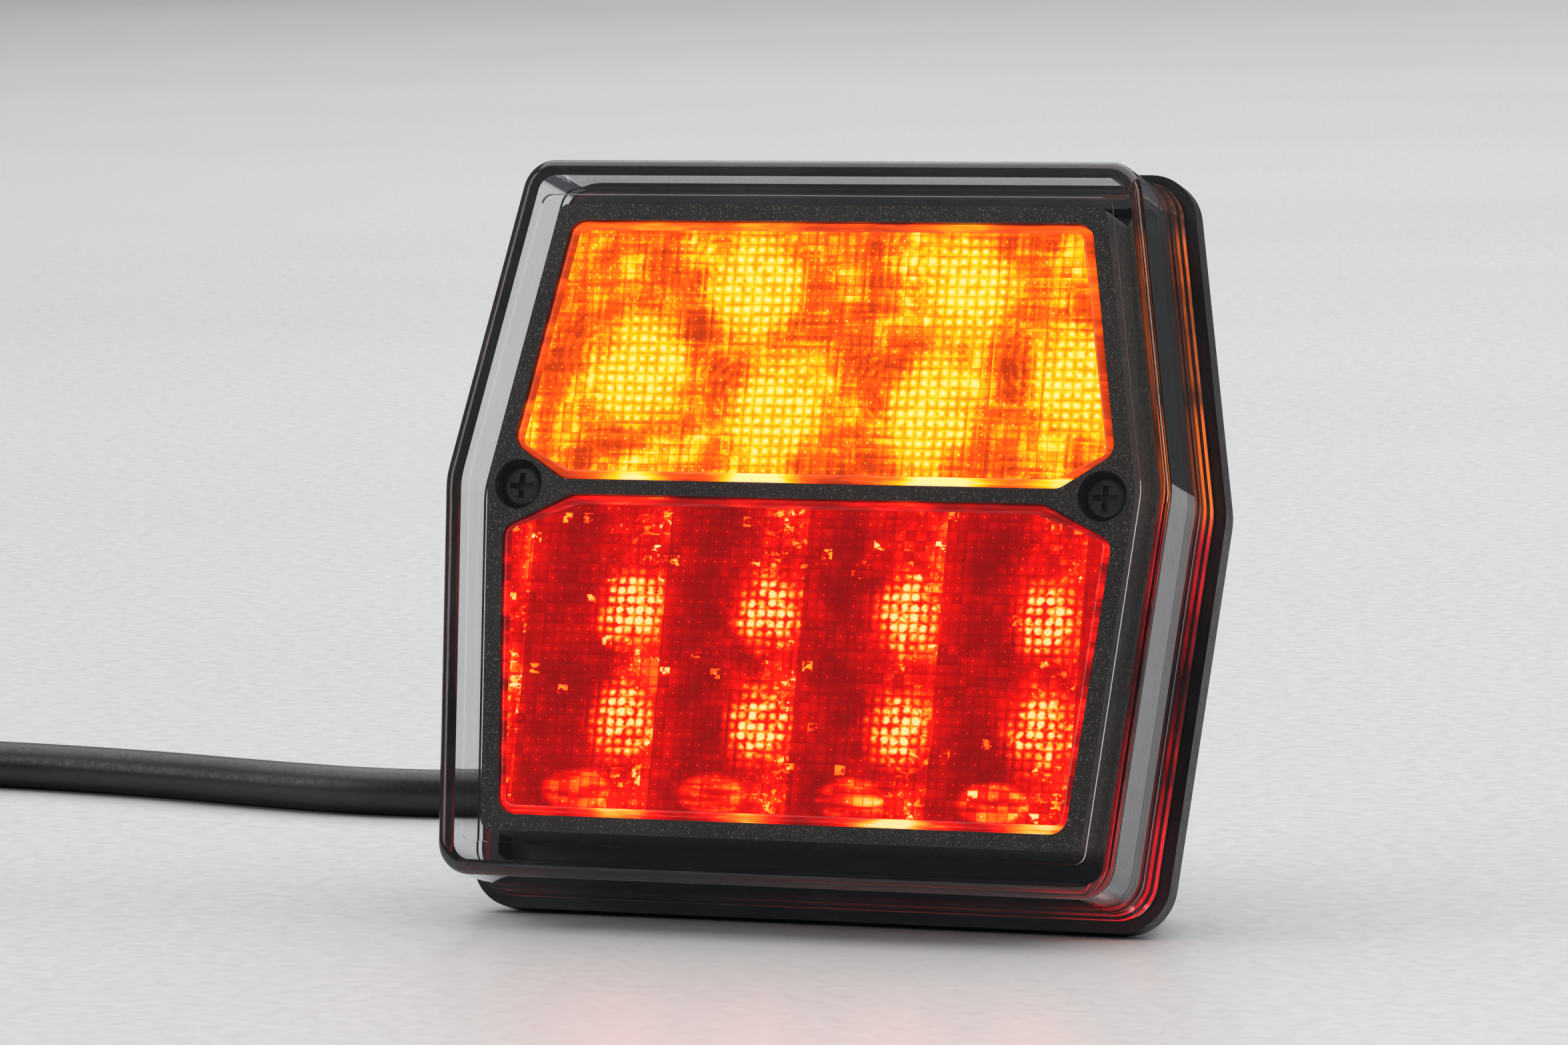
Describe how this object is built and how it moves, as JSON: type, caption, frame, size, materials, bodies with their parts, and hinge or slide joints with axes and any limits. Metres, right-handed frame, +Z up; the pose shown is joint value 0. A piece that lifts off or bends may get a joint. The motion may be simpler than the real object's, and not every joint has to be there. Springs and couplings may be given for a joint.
{
  "type": "trailer tail light",
  "caption": "Hexagonal trailer tail light with clear cover, amber and red lit lenses, black bezel and base, studs behind, and a cable with a bayonet plug.",
  "frame": {"origin": "middle of the lamp's footprint, on the surface it stands on, measured without the cable and plug", "axes": "+Z up; the front faces -Y and leans back 16 degrees, because the lamp stands on the drafted lower wall of its base; +X is the viewer's right from the front"},
  "size_m": [0.3259, 0.1459, 0.0985],
  "materials": {
    "housing_black": "fine-grained black moulding",
    "seal_rubber": "soft black gasket",
    "cover_clear": "clear polished polycarbonate",
    "bezel_black": "spark-eroded black, fine sparkle",
    "amber_lens": "transparent amber with fine square pillow optics, lit",
    "red_lens": "transparent red with fine square pillow optics, lit",
    "tray_white": "white reflector moulding",
    "board_black": "black solder-masked circuit board",
    "led_amber": "lit amber emitter",
    "led_red": "lit red emitter",
    "component_black": "chip resistor body",
    "terminal_grey": "grey nylon",
    "screw_black": "black zinc plated steel",
    "screw_zinc": "bright zinc plated steel",
    "grommet_rubber": "black moulded rubber",
    "cable_sheath": "black flexible sheath, satin",
    "tie_nylon": "black nylon tie",
    "core_green": "wire insulation",
    "core_brown": "wire insulation",
    "core_white": "wire insulation",
    "core_red": "wire insulation",
    "core_yellow": "wire insulation",
    "plug_black": "glass-filled black nylon",
    "plug_insert": "grey nylon contact carrier",
    "contact_brass": "tinned brass sockets",
    "ring_yellow": "yellow nylon locking ring"
  },
  "bodies": {
    "lamp": {"amber_leds": "led_amber", "amber_lens": "amber_lens", "amber_tray": "tray_white", "bezel": "bezel_black", "bezel_screws": "screw_black", "board_screws": "screw_zinc", "cable": "cable_sheath", "cable_coil": "cable_sheath", "cable_end": "cable_sheath", "cable_grommet": "grommet_rubber", "cable_sheath_end": "cable_sheath", "clear_cover": "cover_clear", "coil_tie": "tie_nylon", "core_brown": "core_brown", "core_green": "core_green", "core_red": "core_red", "core_white": "core_white", "core_yellow": "core_yellow", "cover_seal": "seal_rubber", "diodes": "component_black", "inner_cable_tie": "tie_nylon", "led_board": "board_black", "mounting_studs": "screw_zinc", "plug_body": "plug_black", "plug_contacts": "contact_brass", "plug_insert": "plug_insert", "plug_nut": "plug_black", "plug_snap_ring": "plug_black", "rear_housing": "housing_black", "red_leds": "led_red", "red_lens": "red_lens", "red_tray": "tray_white", "resistors": "component_black", "terminal_block": "terminal_grey"},
    "lock_ring": {"plug_lock_ring": "ring_yellow"}
  },
  "joints": [
    {"name": "lock_ring_turn", "type": "hinge", "parent": "lamp", "child": "lock_ring", "pos_m": [-0.26203, -0.05264, 0.012], "axis": [0, -1, 0], "range_deg": [0, 60]}
  ]
}
